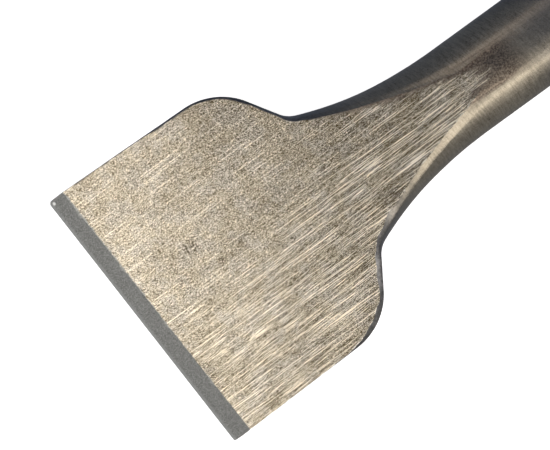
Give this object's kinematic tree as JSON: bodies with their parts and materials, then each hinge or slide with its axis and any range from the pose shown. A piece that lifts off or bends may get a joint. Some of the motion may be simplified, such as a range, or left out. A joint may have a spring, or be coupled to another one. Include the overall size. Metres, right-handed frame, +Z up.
{
  "type": "brick bolster chisel",
  "caption": "Brick bolster: a wide flat ground blade forged in one with its round shank and struck head, and a soft push-on hand guard on the shank.",
  "frame": {"origin": "on the floor under the middle of the tool's bounding box, with the tool lying at rest on one bevel heel and the rim of its guard", "axes": "+X from the cutting edge towards the struck head, +Y across the blade, +Z up. The tool's own axis rises 9.8 degrees from +X towards +Z"},
  "size_m": [0.2492, 0.076, 0.0758],
  "materials": {
    "forged_steel": "warm grey tan forged steel, coarse straight grinding lines on both flats, finer matt grey bevels, dark forged skin on the neck and shank",
    "liner_rubber": "matt dark grey soft rubber",
    "core_plastic": "fine textured hard plastic, muted blue",
    "grip_rubber": "matt black soft-touch rubber"
  },
  "bodies": {
    "chisel": {"chisel_forging": "forged_steel"},
    "liner": {"damping_liner": "liner_rubber"},
    "guard": {"guard_core": "core_plastic", "grip_sleeve": "grip_rubber", "hand_shield": "grip_rubber", "lock_collar": "core_plastic"}
  },
  "joints": [
    {"name": "guard_slide", "type": "slide", "parent": "chisel", "child": "liner", "axis": [0.9854, 0, 0.1703], "range_m": [-0.034, 0.118]},
    {"name": "guard_twist", "type": "hinge", "parent": "liner", "child": "guard", "pos_m": [0.05661, 0, 0.03306], "axis": [0.9854, 0, 0.1703], "continuous": true}
  ]
}
